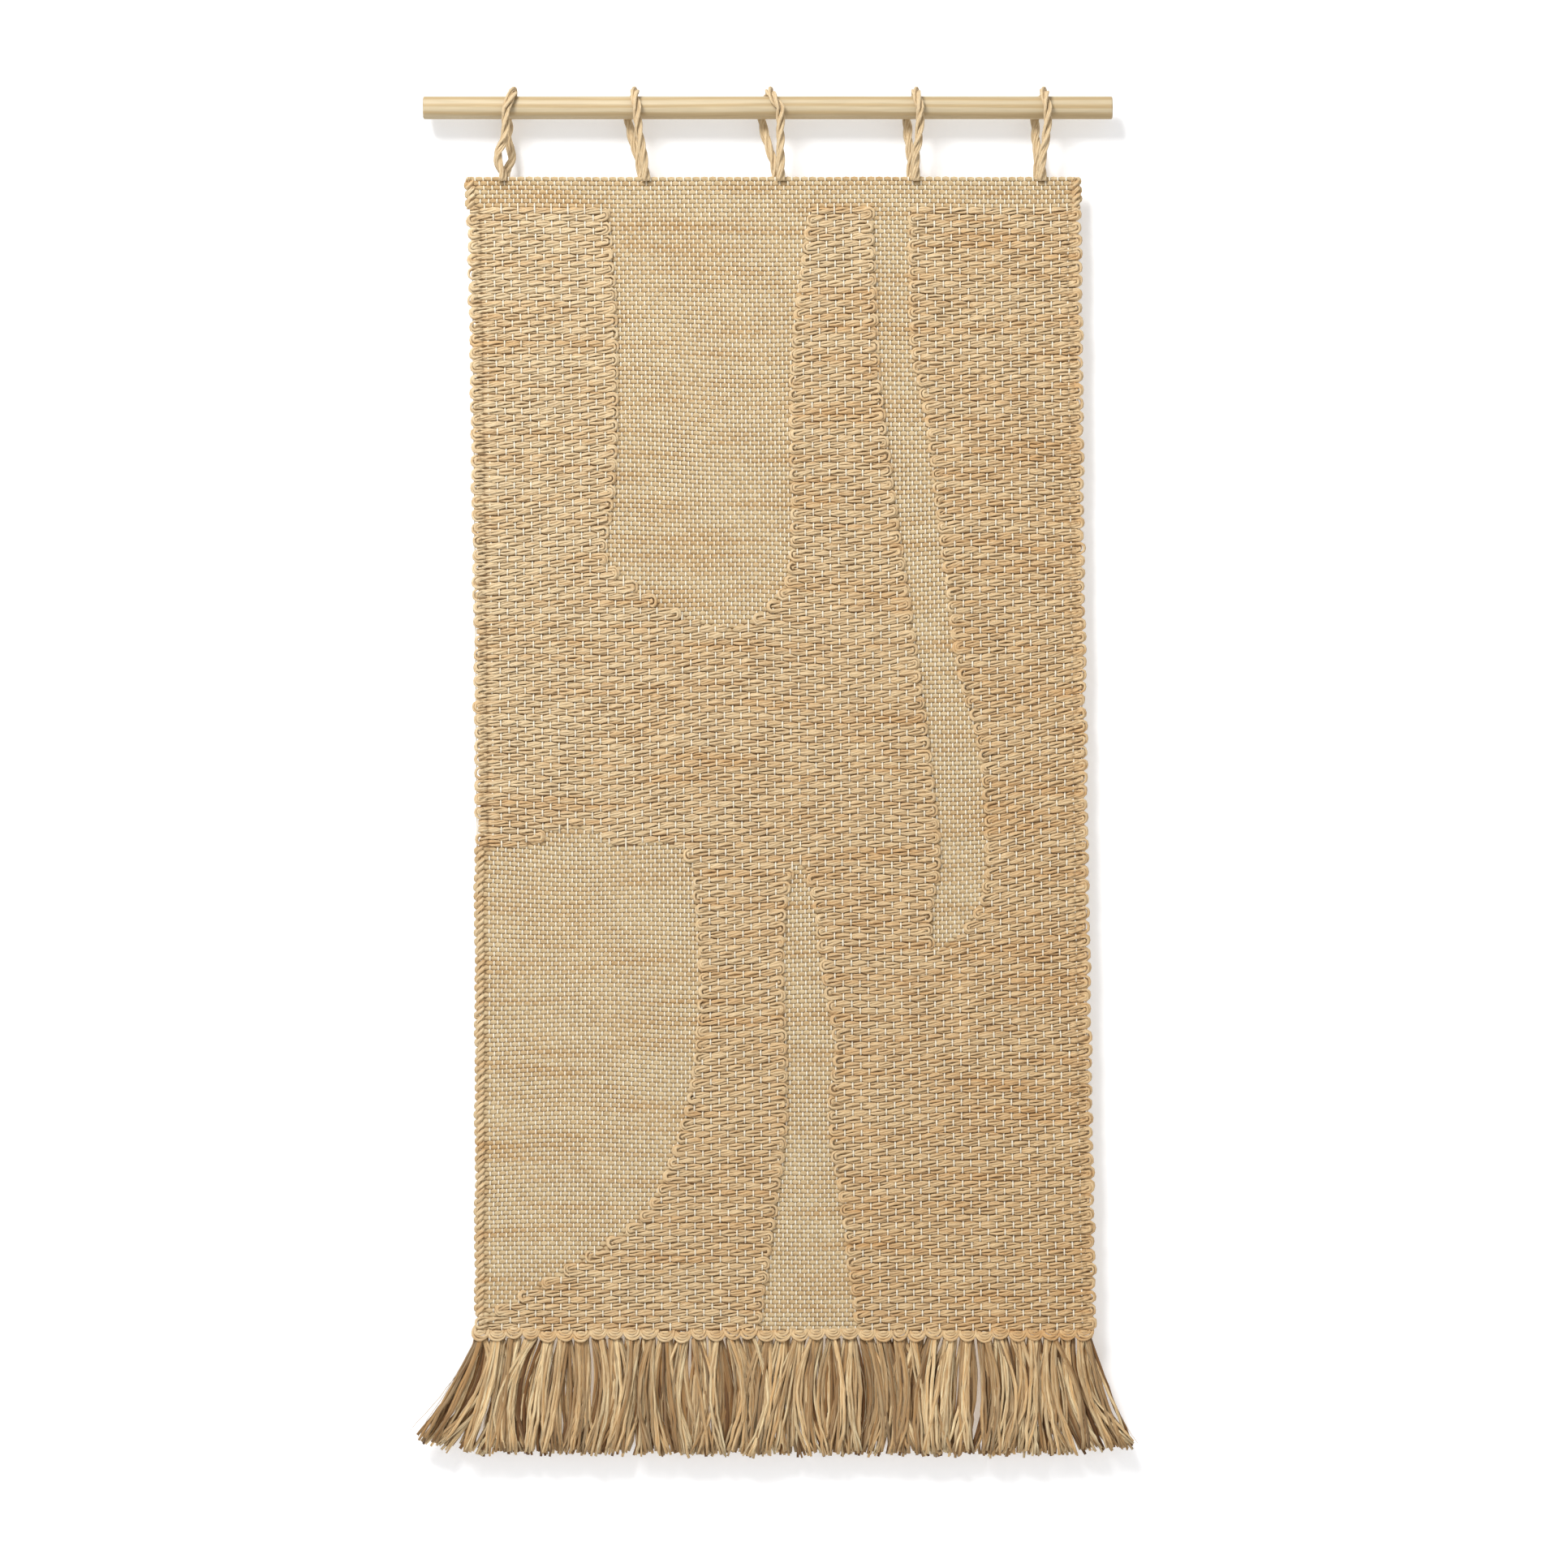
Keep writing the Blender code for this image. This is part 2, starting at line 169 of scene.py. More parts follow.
warp_count = 148
warp_pitch = panel_width / warp_count
warp_thickness = 0.0014
warp_at = panel_left + (np.arange(warp_count) + 0.5) * warp_pitch
flat_row_count = 260
flat_pitch = panel_height / flat_row_count
relief_pitch = 1.5 * flat_pitch
relief_row_count = int((field_top - panel_bottom) / relief_pitch)
flat_heights = panel_top - (np.arange(flat_row_count) + 0.5) * flat_pitch
relief_heights = field_top - (np.arange(relief_row_count) + 0.5) * relief_pitch
flat_warp_depth = 0.00115
tie_depth = -0.0020
back_depth = 0.0021
edge_warps = 3
flat_bend_share = 0.30
tie_bend_share = 0.34
warp_unevenness = 0.10
warp_top_gap = 0.0006
warp_bottom_gap = 0.0004
run_spacing = 3.7
same_place = 1e-4


def walls_of(name):
    """The edges of a field's slab that cross its thickness, as two arrays of end points."""
    mesh = frame["nodes"][name].data
    mesh.calc_loop_triangles()
    spots = np.array([vert.co for vert in mesh.vertices])
    corners = np.array([tuple(face.vertices) for face in mesh.loop_triangles])
    starts = spots[corners.ravel()]
    ends = spots[np.roll(corners, -1, axis=1).ravel()]
    crossing = np.abs(starts[:, 1] - ends[:, 1]) > same_place
    return starts[crossing], ends[crossing]


field_walls = {name: walls_of(name) for name in flat_fields + relief_fields}


def spans_across(name, height):
    """The stretches that a field covers at one height, as (left, right) pairs."""
    starts, ends = field_walls[name]
    above = starts[:, 2] - height
    below = ends[:, 2] - height
    met = above * below < 0
    share = above[met] / (above[met] - below[met])
    places = np.sort(starts[met, 0] + share * (ends[met, 0] - starts[met, 0]))
    if len(places) == 0:
        return []
    apart = np.append(True, np.diff(places) > same_place)
    places = places[apart]
    return list(zip(places[0::2], places[1::2]))


def covered(names, heights):
    """Which warp ends lie in the named fields, for each of the heights."""
    table = np.zeros((len(heights), warp_count), bool)
    for row, height in enumerate(heights):
        for name in names:
            for left, right in spans_across(name, height):
                table[row] |= (warp_at > left) & (warp_at < right)
    return table


flat_cover = covered(flat_fields, flat_heights)
relief_cover = covered(relief_fields, relief_heights)
relief_cover[:, :edge_warps] = True
relief_cover[:, -edge_warps:] = True
flat_cover[:, :edge_warps] = False
flat_cover[:, -edge_warps:] = False


golden_angle = 2.399963


def wander(along, seed):
    """A smooth, endless wobble between about -1 and 1, which differs with the seed."""
    phase = golden_angle * (seed + 1)
    slow = np.sin(along + phase)
    middling = 0.6 * np.sin(2.3 * along + 2.1 * phase)
    quick = 0.4 * np.sin(4.1 * along + 3.7 * phase)
    return (slow + middling + quick) / 1.6


slant_at_top = -0.0034
slant_growth = 0.0113
raggedness = 0.0006
broad_wave = 0.0016
narrow_wave = 0.0012
edge_wave = 0.004
right_edge_lift = 0.008
belly_depth = 0.0012


def hung(points):
    """Where points of the flat cloth go as it hangs: a little askew, and drawn in and wavy."""
    x, y, z = np.asarray(points, float).T
    depth = np.clip((panel_top - z) / panel_height, 0, 1)
    across = (x - panel_middle) / panel_width
    slant = slant_at_top + slant_growth * depth ** 0.75
    drawn_in = (-0.0018 - 0.0075 * depth + 0.0103 * depth ** 2) * 2 * across
    ragged = raggedness * wander(70 * z, 3) * np.abs(2 * across) ** 3
    free = np.sin(math.pi * depth) ** 0.6
    wave = broad_wave * np.sin(21 * x + 9 * z + 0.6) + narrow_wave * np.sin(37 * x - 14 * z + 2.2)
    lifted = np.clip((across - 0.20) / 0.30, 0, 1) ** 1.3
    lifted *= np.sin(math.pi * np.clip((depth - 0.25) / 0.7, 0, 1))
    rise = free * (wave + edge_wave * across * np.sin(7 * z + 1.2)) + right_edge_lift * lifted
    belly = -belly_depth * free * np.sin(5 * x + 6 * z)
    return np.column_stack((x + slant + drawn_in + ragged, y + belly, z + rise))


def yarn_mesh(name, runs, thickness, sides, flatten, tones):
    """Runs of yarn as closed tubes. Each run is its points and its relative thickness at each.

    Every vertex carries "fibre", how far along its yarn it lies and where round it, and "tone",
    which is 1 in the open, more for a bleached yarn, and less for a yarn deep among others,
    where its darker colour is painted shade.
    """
    curve = bpy.data.curves.new(name, "CURVE")
    curve.dimensions = "3D"
    curve.bevel_depth = thickness / 2
    curve.bevel_resolution = (sides - 4) // 2
    lengthwise = []
    for index, (points, swell) in enumerate(runs):
        spline = curve.splines.new("POLY")
        spline.points.add(len(points) - 1)
        stretched = np.asarray(points, float) / (1, flatten, 1)
        spline.points.foreach_set("co", np.column_stack((stretched, np.ones(len(points)))).ravel())
        spline.points.foreach_set("radius", np.asarray(swell, float))
        steps = np.linalg.norm(np.diff(points, axis=0), axis=1)
        lengthwise.append(run_spacing * index + np.append(0, np.cumsum(steps)))
    holder = placed(name, curve)
    made = bpy.data.meshes.new_from_object(
        holder.evaluated_get(bpy.context.evaluated_depsgraph_get())
    )
    bpy.data.objects.remove(holder)
    bpy.data.curves.remove(curve)

    along = np.repeat(np.concatenate(lengthwise), sides)
    turn = np.tile(np.arange(sides) * 2 * math.pi / sides, len(along) // sides)
    fibre = made.attributes.new("fibre", "FLOAT_VECTOR", "POINT")
    fibre.data.foreach_set("vector", np.column_stack((along, np.cos(turn), np.sin(turn))).ravel())
    tone = made.attributes.new("tone", "FLOAT", "POINT")
    points_per_run = [len(points) * sides for points, _ in runs]
    tone.data.foreach_set("value", np.repeat(tones or [1.0] * len(runs), points_per_run))

    form = bmesh.new()
    form.from_mesh(made)
    bmesh.ops.scale(form, vec=(1, flatten, 1), verts=form.verts)
    open_ends = [edge for edge in form.edges if edge.is_boundary]
    bmesh.ops.holes_fill(form, edges=open_ends, sides=sides)
    form.to_mesh(made)
    form.free()
    made.name = name
    made.shade_smooth()
    return made


def yarn_piece(name, runs, thickness, sides, material, body, flatten=1.0, tones=None):
    """A named piece made of yarns, which rides on a body of the frame."""
    piece = placed(name, yarn_mesh(name, runs, thickness, sides, flatten, tones))
    piece.data.materials.append(material)
    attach(piece, body)
    return piece


def warp_run(end):
    """One warp end from top to bottom, over and under the rows that it meets."""
    stops = []
    for row in np.flatnonzero(flat_cover[:, end]):
        depth = flat_warp_depth if (end + row) % 2 else -flat_warp_depth
        stops.append((flat_heights[row], depth, flat_bend_share * flat_pitch))
    for row in np.flatnonzero(relief_cover[:, end]):
        ties = end % 4 == (2 * row) % 4 and edge_warps <= end < warp_count - edge_warps
        depth = tie_depth if ties else back_depth
        stops.append((relief_heights[row], depth, tie_bend_share * relief_pitch))
    stops.sort(reverse=True)
    points = [(warp_at[end], 0, panel_top - warp_top_gap)]
    for index, (height, depth, half) in enumerate(stops):
        same_above = index > 0 and stops[index - 1][1] == depth
        same_below = index + 1 < len(stops) and stops[index + 1][1] == depth
        if not same_above:
            points.append((warp_at[end], depth, height + half))
        if not same_below:
            points.append((warp_at[end], depth, height - half))
    points.append((warp_at[end], 0, panel_bottom + warp_bottom_gap))
    places = hung(points)
    swell = 1 + warp_unevenness * wander(300 * places[:, 2], end)
    return places, swell


def fibre_group():
    """The look of spun fibre: streaks that drift along a row, and strands that run with it."""
    group = bpy.data.node_groups.new("spun_fibre", "ShaderNodeTree")
    face = group.interface
    for name in ("Fibre", "Place"):
        face.new_socket(name, in_out="INPUT", socket_type="NodeSocketVector")
    for name in ("Shade", "Body", "Light", "Streak"):
        face.new_socket(name, in_out="INPUT", socket_type="NodeSocketColor")
    for name in ("Tone", "Drift Scale", "Strand Scale", "Strand Contrast", "Streak Amount"):
        face.new_socket(name, in_out="INPUT", socket_type="NodeSocketFloat")
    face.new_socket("Color", in_out="OUTPUT", socket_type="NodeSocketColor")
    face.new_socket("Height", in_out="OUTPUT", socket_type="NodeSocketFloat")
    nodes = group.nodes
    link = group.links.new
    given = nodes.new("NodeGroupInput").outputs
    result = nodes.new("NodeGroupOutput").inputs

    parts = node(nodes, "SeparateXYZ")
    drift_place = node(nodes, "CombineXYZ")
    drift = node(nodes, "TexNoise", Detail=2, Roughness=0.5)
    drift_range = node(nodes, "MapRange", From_Min=0.30, From_Max=0.62)
    tone = node(nodes, "Mix", data_type="RGBA")
    link(given["Fibre"], parts.inputs[0])
    link(parts.outputs["X"], drift_place.inputs["X"])
    link(drift_place.outputs[0], drift.inputs["Vector"])
    link(given["Drift Scale"], drift.inputs["Scale"])
    link(drift.outputs["Fac"], drift_range.inputs["Value"])
    link(drift_range.outputs[0], tone.inputs[0])
    link(given["Shade"], tone.inputs[6])
    link(given["Body"], tone.inputs[7])

    along = node(nodes, "Math", operation="MULTIPLY")
    strand_place = node(nodes, "CombineXYZ")
    strands = node(nodes, "TexNoise", Scale=1.9, Detail=3, Roughness=0.65)
    strand_range = node(nodes, "MapRange", From_Min=0.30, From_Max=0.70)
    weigh = node(nodes, "Math", operation="MULTIPLY")
    forward = node(nodes, "Math", operation="MULTIPLY")
    lit = node(nodes, "Mix", data_type="RGBA")
    link(parts.outputs["X"], along.inputs[0])
    link(given["Strand Scale"], along.inputs[1])
    link(along.outputs[0], strand_place.inputs["X"])
    link(parts.outputs["Y"], strand_place.inputs["Y"])
    link(parts.outputs["Z"], strand_place.inputs["Z"])
    link(strand_place.outputs[0], strands.inputs["Vector"])
    link(strands.outputs["Fac"], strand_range.inputs["Value"])
    link(strand_range.outputs[0], weigh.inputs[0])
    link(given["Strand Contrast"], weigh.inputs[1])
    # Tone also weighs the light fibres: more on a bleached yarn, and fewer on a yarn deep among
    # others, as painted shade.
    link(weigh.outputs[0], forward.inputs[0])
    link(given["Tone"], forward.inputs[1])
    link(forward.outputs[0], lit.inputs[0])
    link(tone.outputs[2], lit.inputs[6])
    link(given["Light"], lit.inputs[7])

    row_place = node(nodes, "Mapping", Scale=(7, 0, 80))
    rows = node(nodes, "TexNoise", Scale=1, Detail=3, Roughness=0.78)
    row_range = node(nodes, "MapRange", From_Min=0.46, From_Max=0.68)
    row_weigh = node(nodes, "Math", operation="MULTIPLY")
    streaked = node(nodes, "Mix", data_type="RGBA", blend_type="MULTIPLY")
    link(given["Place"], row_place.inputs["Vector"])
    link(row_place.outputs[0], rows.inputs["Vector"])
    link(rows.outputs["Fac"], row_range.inputs["Value"])
    link(row_range.outputs[0], row_weigh.inputs[0])
    link(given["Streak Amount"], row_weigh.inputs[1])
    link(row_weigh.outputs[0], streaked.inputs[0])
    link(lit.outputs[2], streaked.inputs[6])
    link(given["Streak"], streaked.inputs[7])
    # Tone below 1 mixes the colour toward Shade: painted shade on yarns that lie deep among
    # others.
    toned = node(nodes, "Mix", data_type="RGBA")
    link(given["Tone"], toned.inputs[0])
    link(given["Shade"], toned.inputs[6])
    link(streaked.outputs[2], toned.inputs[7])
    link(toned.outputs[2], result["Color"])
    link(strand_range.outputs[0], result["Height"])
    return group


spun_fibre = fibre_group()


def fibre_material(
    name, shade, body, light, drift, strand, contrast, streak, amount, bump, warm=False
):
    """A yarn's finish: its darkest, usual and lightest colour, and the streaks along its rows.

    A warm finish turns browner from the cloth's upper left to its lower right.
    """
    material, nodes, link, shader = new_material(name, 0.85)
    shader.inputs["Sheen Weight"].default_value = 0.06
    fibre = node(nodes, "Attribute", attribute_name="fibre")
    tone = node(nodes, "Attribute", attribute_name="tone")
    place = node(nodes, "TexCoord")
    look = nodes.new("ShaderNodeGroup")
    look.node_tree = spun_fibre
    settings = {
        "Shade": (*shade, 1), "Body": (*body, 1), "Light": (*light, 1), "Streak": (*streak, 1),
        "Drift Scale": drift, "Strand Scale": strand, "Strand Contrast": contrast,
        "Streak Amount": amount,
    }
    for socket, value in settings.items():
        look.inputs[socket].default_value = value
    rough = node(nodes, "Bump", Strength=bump, Distance=0.0006)
    link(fibre.outputs["Vector"], look.inputs["Fibre"])
    link(tone.outputs["Fac"], look.inputs["Tone"])
    link(place.outputs["Object"], look.inputs["Place"])
    link(look.outputs["Height"], rough.inputs["Height"])
    if warm:
        slope = node(nodes, "VectorMath", operation="DOT_PRODUCT")
        slope.inputs[1].default_value = (1.0, 0, -0.5)
        reach = node(nodes, "MapRange", From_Min=-0.16, From_Max=0.84)
        browned = node(nodes, "Mix", data_type="RGBA", blend_type="MULTIPLY")
        browned.inputs[7].default_value = (0.90, 0.80, 0.68, 1)
        link(place.outputs["Object"], slope.inputs[0])
        link(slope.outputs["Value"], reach.inputs["Value"])
        link(reach.outputs[0], browned.inputs[0])
        link(look.outputs["Color"], browned.inputs[6])
        link(browned.outputs[2], shader.inputs["Base Color"])
    else:
        link(look.outputs["Color"], shader.inputs["Base Color"])
    link(rough.outputs[0], shader.inputs["Normal"])
    return material


cotton = fibre_material(
    "unbleached_cotton", (0.68, 0.60, 0.45), (0.85, 0.79, 0.65), (0.94, 0.91, 0.82),
    drift=40, strand=500, contrast=0.5, streak=(1, 0.9, 0.75), amount=0.4, bump=0.3,
)
seen_ends = np.arange(1, warp_count - 1)
for side, ends in zip(("left", "middle", "right"), np.array_split(seen_ends, 3)):
    runs = [warp_run(end) for end in ends]
    yarn_piece(f"cotton_warp_{side}", runs, warp_thickness, 4, cotton, "panel")


# ------------------------------------ the painted-shade ground
# The weft is beaten down so hard that no light passes between the rows. A thin dark sheet fills
# the middle of the cloth, the size that the cloth was woven to: painted shade in the gaps between
# the yarns.

ground_inset = 0.006
ground_thickness = 0.0007
ground_depth = 0.0003

upright = Matrix.Rotation(math.pi / 2, 3, "X")
ground_form = bmesh.new()
bmesh.ops.create_grid(ground_form, x_segments=60, y_segments=110, size=0.5)
bmesh.ops.rotate(ground_form, verts=ground_form.verts, cent=(0, 0, 0), matrix=upright)
ground_size = (panel_width - 2 * ground_inset, 1, panel_height - ground_inset)
bmesh.ops.scale(ground_form, vec=ground_size, verts=ground_form.verts)
ground_middle = (panel_middle, ground_depth, (panel_top + panel_bottom) / 2)
bmesh.ops.translate(ground_form, vec=ground_middle, verts=ground_form.verts)
for vert, place in zip(ground_form.verts, hung([vert.co for vert in ground_form.verts])):
    vert.co = place
painted_shade_ground = object_from(ground_form, "painted_shade_ground")
ground_solid = painted_shade_ground.modifiers.new("thickness", "SOLIDIFY")
ground_solid.thickness = ground_thickness
ground_solid.offset = 0

# Dark brown painted shade, which shows only in the gaps between the yarns.
shade_ground_paint, shade_ground_nodes, shade_ground_link, shade_ground_shader = new_material("painted_shade_fibre", 0.95)
shade_ground_place = node(shade_ground_nodes, "TexCoord")
shade_ground_noise = node(shade_ground_nodes, "TexNoise", Scale=700, Detail=3)
shade_ground_colour = node(shade_ground_nodes, "ValToRGB")
shade_ground_colour.color_ramp.elements[0].color = (0.20, 0.12, 0.06, 1)
shade_ground_colour.color_ramp.elements[1].color = (0.42, 0.28, 0.15, 1)
shade_ground_link(shade_ground_place.outputs["Object"], shade_ground_noise.inputs["Vector"])
shade_ground_link(shade_ground_noise.outputs["Fac"], shade_ground_colour.inputs["Fac"])
shade_ground_link(shade_ground_colour.outputs["Color"], shade_ground_shader.inputs["Base Color"])
painted_shade_ground.data.materials.append(shade_ground_paint)
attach(painted_shade_ground, "panel")


# ------------------------------------ the flat weave
# The heading and the four windows are plain weave: one single jute weft to a row, over one
# warp end and under the next, which turns back at each edge and never leaves its own field.

flat_weft_height = 0.0041
flat_weft_flatness = 0.60
flat_weft_depth = 0.0008
flat_turn_depth = 0.0004
flat_tuck = -0.0030
flat_reach = 0.0022
flat_under_edge = 0.0045
flat_clearance = 0.0008
flat_unevenness = 0.07
row_step_limit = 0.012
edge_reach = 0.002
turn_bulge = 0.42
end_squeeze = 0.8


def continuous_yarns(spans_by_row, step_limit):
    """Joins the rows of a field into yarns that turn back where two rows end close together."""
    working = []
    finished = []
    for row, spans in enumerate(spans_by_row):
        spare = list(spans)
        still_working = []
        for yarn in working:
            side = 2 if len(yarn) % 2 else 1
            near = [span for span in spare if abs(span[side - 1] - yarn[-1][side]) < step_limit]
            near = [span for span in near if span[0] < yarn[-1][2] and span[1] > yarn[-1][1]]
            if near:
                yarn.append((row, *near[0]))
                spare.remove(near[0])
                still_working.append(yarn)
            else:
                finished.append(yarn)
        still_working += [[(row, *span)] for span in spare]
        working = still_working
    return finished + working


def lay_weft(yarn, heights, crossings, margin, turn_depth, gather=0, end_reach=0):
    """The line of one weft through its rows and turns: its points and how far it is squeezed."""
    points = []
    squeeze = []
    turns = []
    turn_at = None
    for index, (row, left, right) in enumerate(yarn):
        rightwards = index % 2 == 0
        sign = 1 if rightwards else -1
        near, far = (left + margin, right - margin)[::sign]
        start = near - sign * end_reach if index == 0 else turn_at
        height = heights[row]
        if index + 1 < len(yarn):
            next_row, next_left, next_right = yarn[index + 1]
            next_far = next_right - margin if rightwards else next_left + margin
            far = (far + next_far) / 2
            turn_at = far
        else:
            far += sign * end_reach
        places, depths, tight = crossings(row, min(start, far), max(start, far))
        if index == 0:
            points.append((start, depths[::sign][0] if len(depths) else turn_depth, height))
            squeeze.append(end_squeeze)
        points += [(x, y, height) for x, y in zip(places[::sign], depths[::sign])]
        squeeze += list(tight[::sign])
        if index + 1 < len(yarn):
            drop = height - heights[next_row]
            turns.append((far, height - drop / 2, len(points) + 2))
            for angle in np.radians((12, 50, 90, 130, 168)):
                out = sign * math.sqrt(math.sin(angle)) * drop * turn_bulge
                points.append((far + out, turn_depth, height - drop / 2 * (1 - math.cos(angle))))
                squeeze.append(1.0)
        else:
            points.append((far, 0, height))
            squeeze.append(end_squeeze)
    points = np.array(points)
    squeeze = np.array(squeeze)
    for far, middle, index in turns if gather else ():
        near = slice(max(index - 4, 0), index + 5)
        closeness = np.clip(1 - abs(points[near, 0] - far) / curl_reach, 0, 1)
        points[near, 2] += gather * closeness * (middle - points[near, 2])
        squeeze[near] *= 1 + (curl_swell - 1) * closeness
    return points, squeeze


def flat_crossings(row, left, right):
    """Where a flat row meets the warp ends between two places, and how deep it lies at each."""
    ends = np.flatnonzero((warp_at > left + flat_clearance) & (warp_at < right - flat_clearance))
    over = (ends + row) % 2 == 1
    depths = np.where(over, -flat_weft_depth, flat_weft_depth)
    return warp_at[ends], depths, np.where(over, 1.10, 0.74)


def flat_spans(name, height):
    """The stretches of a flat row, wide enough to run on under the relief beside and above it."""
    near = [spans_across(name, height + step) for step in (flat_reach, 0, -flat_reach)]
    fullest = max(near, key=lambda spans: (len(spans), sum(right - left for left, right in spans)))
    return [
        (
            left - flat_under_edge if left < field_left + edge_reach else left,
            right + flat_under_edge if right > field_right - edge_reach else right,
        )
        for left, right in fullest
    ]


flat_jute = fibre_material(
    "flat_weave_jute", (0.42, 0.28, 0.128), (0.57, 0.42, 0.23), (0.71, 0.59, 0.385),
    drift=90, strand=150, contrast=0.6, streak=(0.80, 0.62, 0.42), amount=0.75, bump=0.7,
)
for field_index, name in enumerate(flat_fields):
    runs = []
    rows = [flat_spans(name, height) for height in flat_heights]
    for yarn in continuous_yarns(rows, row_step_limit):
        line, squeeze = lay_weft(yarn, flat_heights, flat_crossings, flat_tuck, flat_turn_depth)
        if len(line) < 2:
            continue
        lumps = wander(90 * line[:, 0] + 40 * line[:, 2], field_index + len(runs))
        runs.append((hung(line), squeeze * (1 + flat_unevenness * lumps)))
    piece = yarn_piece(
        f"{name}_weft", runs, flat_weft_height, 6, flat_jute, "panel",
        flatten=flat_weft_flatness,
    )
    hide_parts(name)


# ------------------------------------ the relief weave
# Thick weft of five soft strands, laid in side by side and lightly twisted. It floats over
# three warp ends and is pinched under the fourth, and curls back proud of the cloth's edge.

strand_count = 5
strand_thickness = 0.0022
strand_sides = 6
bundle_height = 0.00205
bundle_depth = 0.00145
twist_per_metre = 115
float_crest = -0.0012
float_pinch = 0.0004
curl_depth = -0.0019
curl_swell = 1.20
curl_gather = 0.14
curl_bulge = 0.0024
curl_reach = 0.0095
curl_margin = 0.0026
edge_curl_margin = 0.0058
groove_inset = 0.0022
groove_clearance = 0.0052
groove_shoulder = 0.0036
groove_squeeze_left = 0.64
groove_squeeze_right = 0.85
relief_clearance = 0.0012
shortest_row = 0.009
float_steps = np.array((0, 0.18, 0.50, 0.82))
float_puff = np.array((0.52, 0.93, 1.05, 0.93))


def relief_crossings(row, left, right):
    """The places along a relief row: pinched at each tie, and full between two ties."""
    tied = np.arange((2 * row) % 4 - 4, warp_count + 4, 4)
    ties = panel_left + (tied + 0.5) * warp_pitch
    places = (ties[:, None] + float_steps * 4 * warp_pitch).ravel()
    puff = np.tile(float_puff, len(ties))
    for groove in (field_left + groove_inset, field_right - groove_inset):
        clear = abs(places - groove) > groove_clearance
        pinched_at = groove + np.array((-groove_shoulder, 0, groove_shoulder))
        places = np.concatenate((places[clear], pinched_at))
        held = groove_squeeze_left if groove < panel_middle else groove_squeeze_right
        puff = np.concatenate((puff[clear], (1.0, held, 0.95)))
    order = np.argsort(places)
    places = places[order]
    puff = puff[order]
    in_reach = (places > left + relief_clearance) & (places < right - relief_clearance)
    places = places[in_reach]
    puff = puff[in_reach]
    fullness = (puff - float_puff[0]) / (1 - float_puff[0])
    return places, float_pinch + (float_crest - float_pinch) * fullness, puff


def strands_round(line, squeeze, seed):
    """The strands of a thick weft, spaced round its line and slowly turning about it."""
    flat_line = line[:, [0, 2]]
    along = np.gradient(flat_line, axis=0)
    along /= np.linalg.norm(along, axis=1)[:, None] + 1e-9
    sideways = np.column_stack((-along[:, 1], np.zeros(len(line)), along[:, 0]))
    travelled = np.append(0, np.cumsum(np.linalg.norm(np.diff(flat_line, axis=0), axis=1)))
    runs = []
    for strand in range(strand_count):
        angle = 2 * math.pi * strand / strand_count + twist_per_metre * travelled
        angle += 0.5 * wander(60 * travelled, seed + 7 * strand)
        loose = 1 + 0.22 * wander(140 * travelled, seed + 3 * strand + 1)
        across = bundle_height * np.cos(angle) * squeeze * loose
        outward = bundle_depth * np.sin(angle) * squeeze * loose
        places = line + sideways * across[:, None]
        places[:, 1] += outward
        lumps = 1 + 0.16 * wander(110 * travelled, seed + 5 * strand + 2)
        runs.append((places, (0.55 + 0.45 * squeeze) * lumps))
    return runs


def split_runs(runs, inside):
    """Parts each run where it passes in or out of a place, and sorts the parts by that."""
    kept = []
    others = []
    for points, swell in runs:
        within = inside(points[:, 0])
        changes = np.flatnonzero(np.diff(within.astype(int))) + 1
        starts = np.append(0, changes)
        stops = np.append(changes + 1, len(points))
        for start, stop in zip(starts, stops):
            stop = min(stop, len(points))
            if stop - start >= 2:
                part = (points[start:stop], swell[start:stop])
                (kept if within[start] else others).append(part)
    return kept, others


relief_jute = fibre_material(
    "relief_jute", (0.46, 0.30, 0.14), (0.69, 0.52, 0.295), (0.90, 0.77, 0.54),
    drift=30, strand=110, contrast=0.7, streak=(0.84, 0.64, 0.42), amount=0.7, bump=0.7, warm=True,
)
edge_runs = {"left": [], "right": []}
limit_per_piece = 190000


def reaching(spans):
    """The stretches of a relief row, run on to the cloth's outer edges where they come near."""
    reached = []
    for left, right in spans:
        if left < field_left + edge_reach:
            left = panel_left + edge_curl_margin - curl_margin
        if right > field_right - edge_reach:
            right = panel_right - edge_curl_margin + curl_margin
        if right - left > shortest_row:
            reached.append((left, right))
    return reached


for field_index, name in enumerate(relief_fields):
    rows = [reaching(spans_across(name, height)) for height in relief_heights]
    runs = []
    for yarn in continuous_yarns(rows, row_step_limit):
        line, squeeze = lay_weft(
            yarn, relief_heights, relief_crossings, curl_margin, curl_depth, curl_gather,
            curl_bulge,
        )
        if len(line) < 3:
            continue
        runs += strands_round(line, squeeze, 11 * field_index + len(runs))
    at_left, runs = split_runs(runs, lambda x: x < field_left)
    at_right, runs = split_runs(runs, lambda x: x > field_right)
    edge_runs["left"] += at_left
    edge_runs["right"] += at_right
    triangles = 2 * strand_sides * sum(len(points) for points, _ in runs)
    shares = -(-triangles // limit_per_piece)
    for share in range(shares):
        part = runs[share * len(runs) // shares:(share + 1) * len(runs) // shares]
        part = [(hung(points), swell) for points, swell in part]
        title = f"{name}_weft" if shares == 1 else f"{name}_weft_{share + 1}"
        piece = yarn_piece(
            title, part, strand_thickness, strand_sides, relief_jute, "panel"
        )
        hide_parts(name)


# ------------------------------------ the selvedges
# Each thick weft curls round the last warp ends in a plump bun. Beside the flat weave the edge
# is bound instead with a two-ply rope of the same jute, so that the border runs unbroken.

binding_ply_offset = 0.0021
binding_strand_offset = 0.0010
binding_turn = 0.0116
binding_inset = 0.0046
binding_flatness = 0.80
binding_steps = 9
binding_proud = 0.0006
curl_fullness = 1.06
beside_edge = 0.003


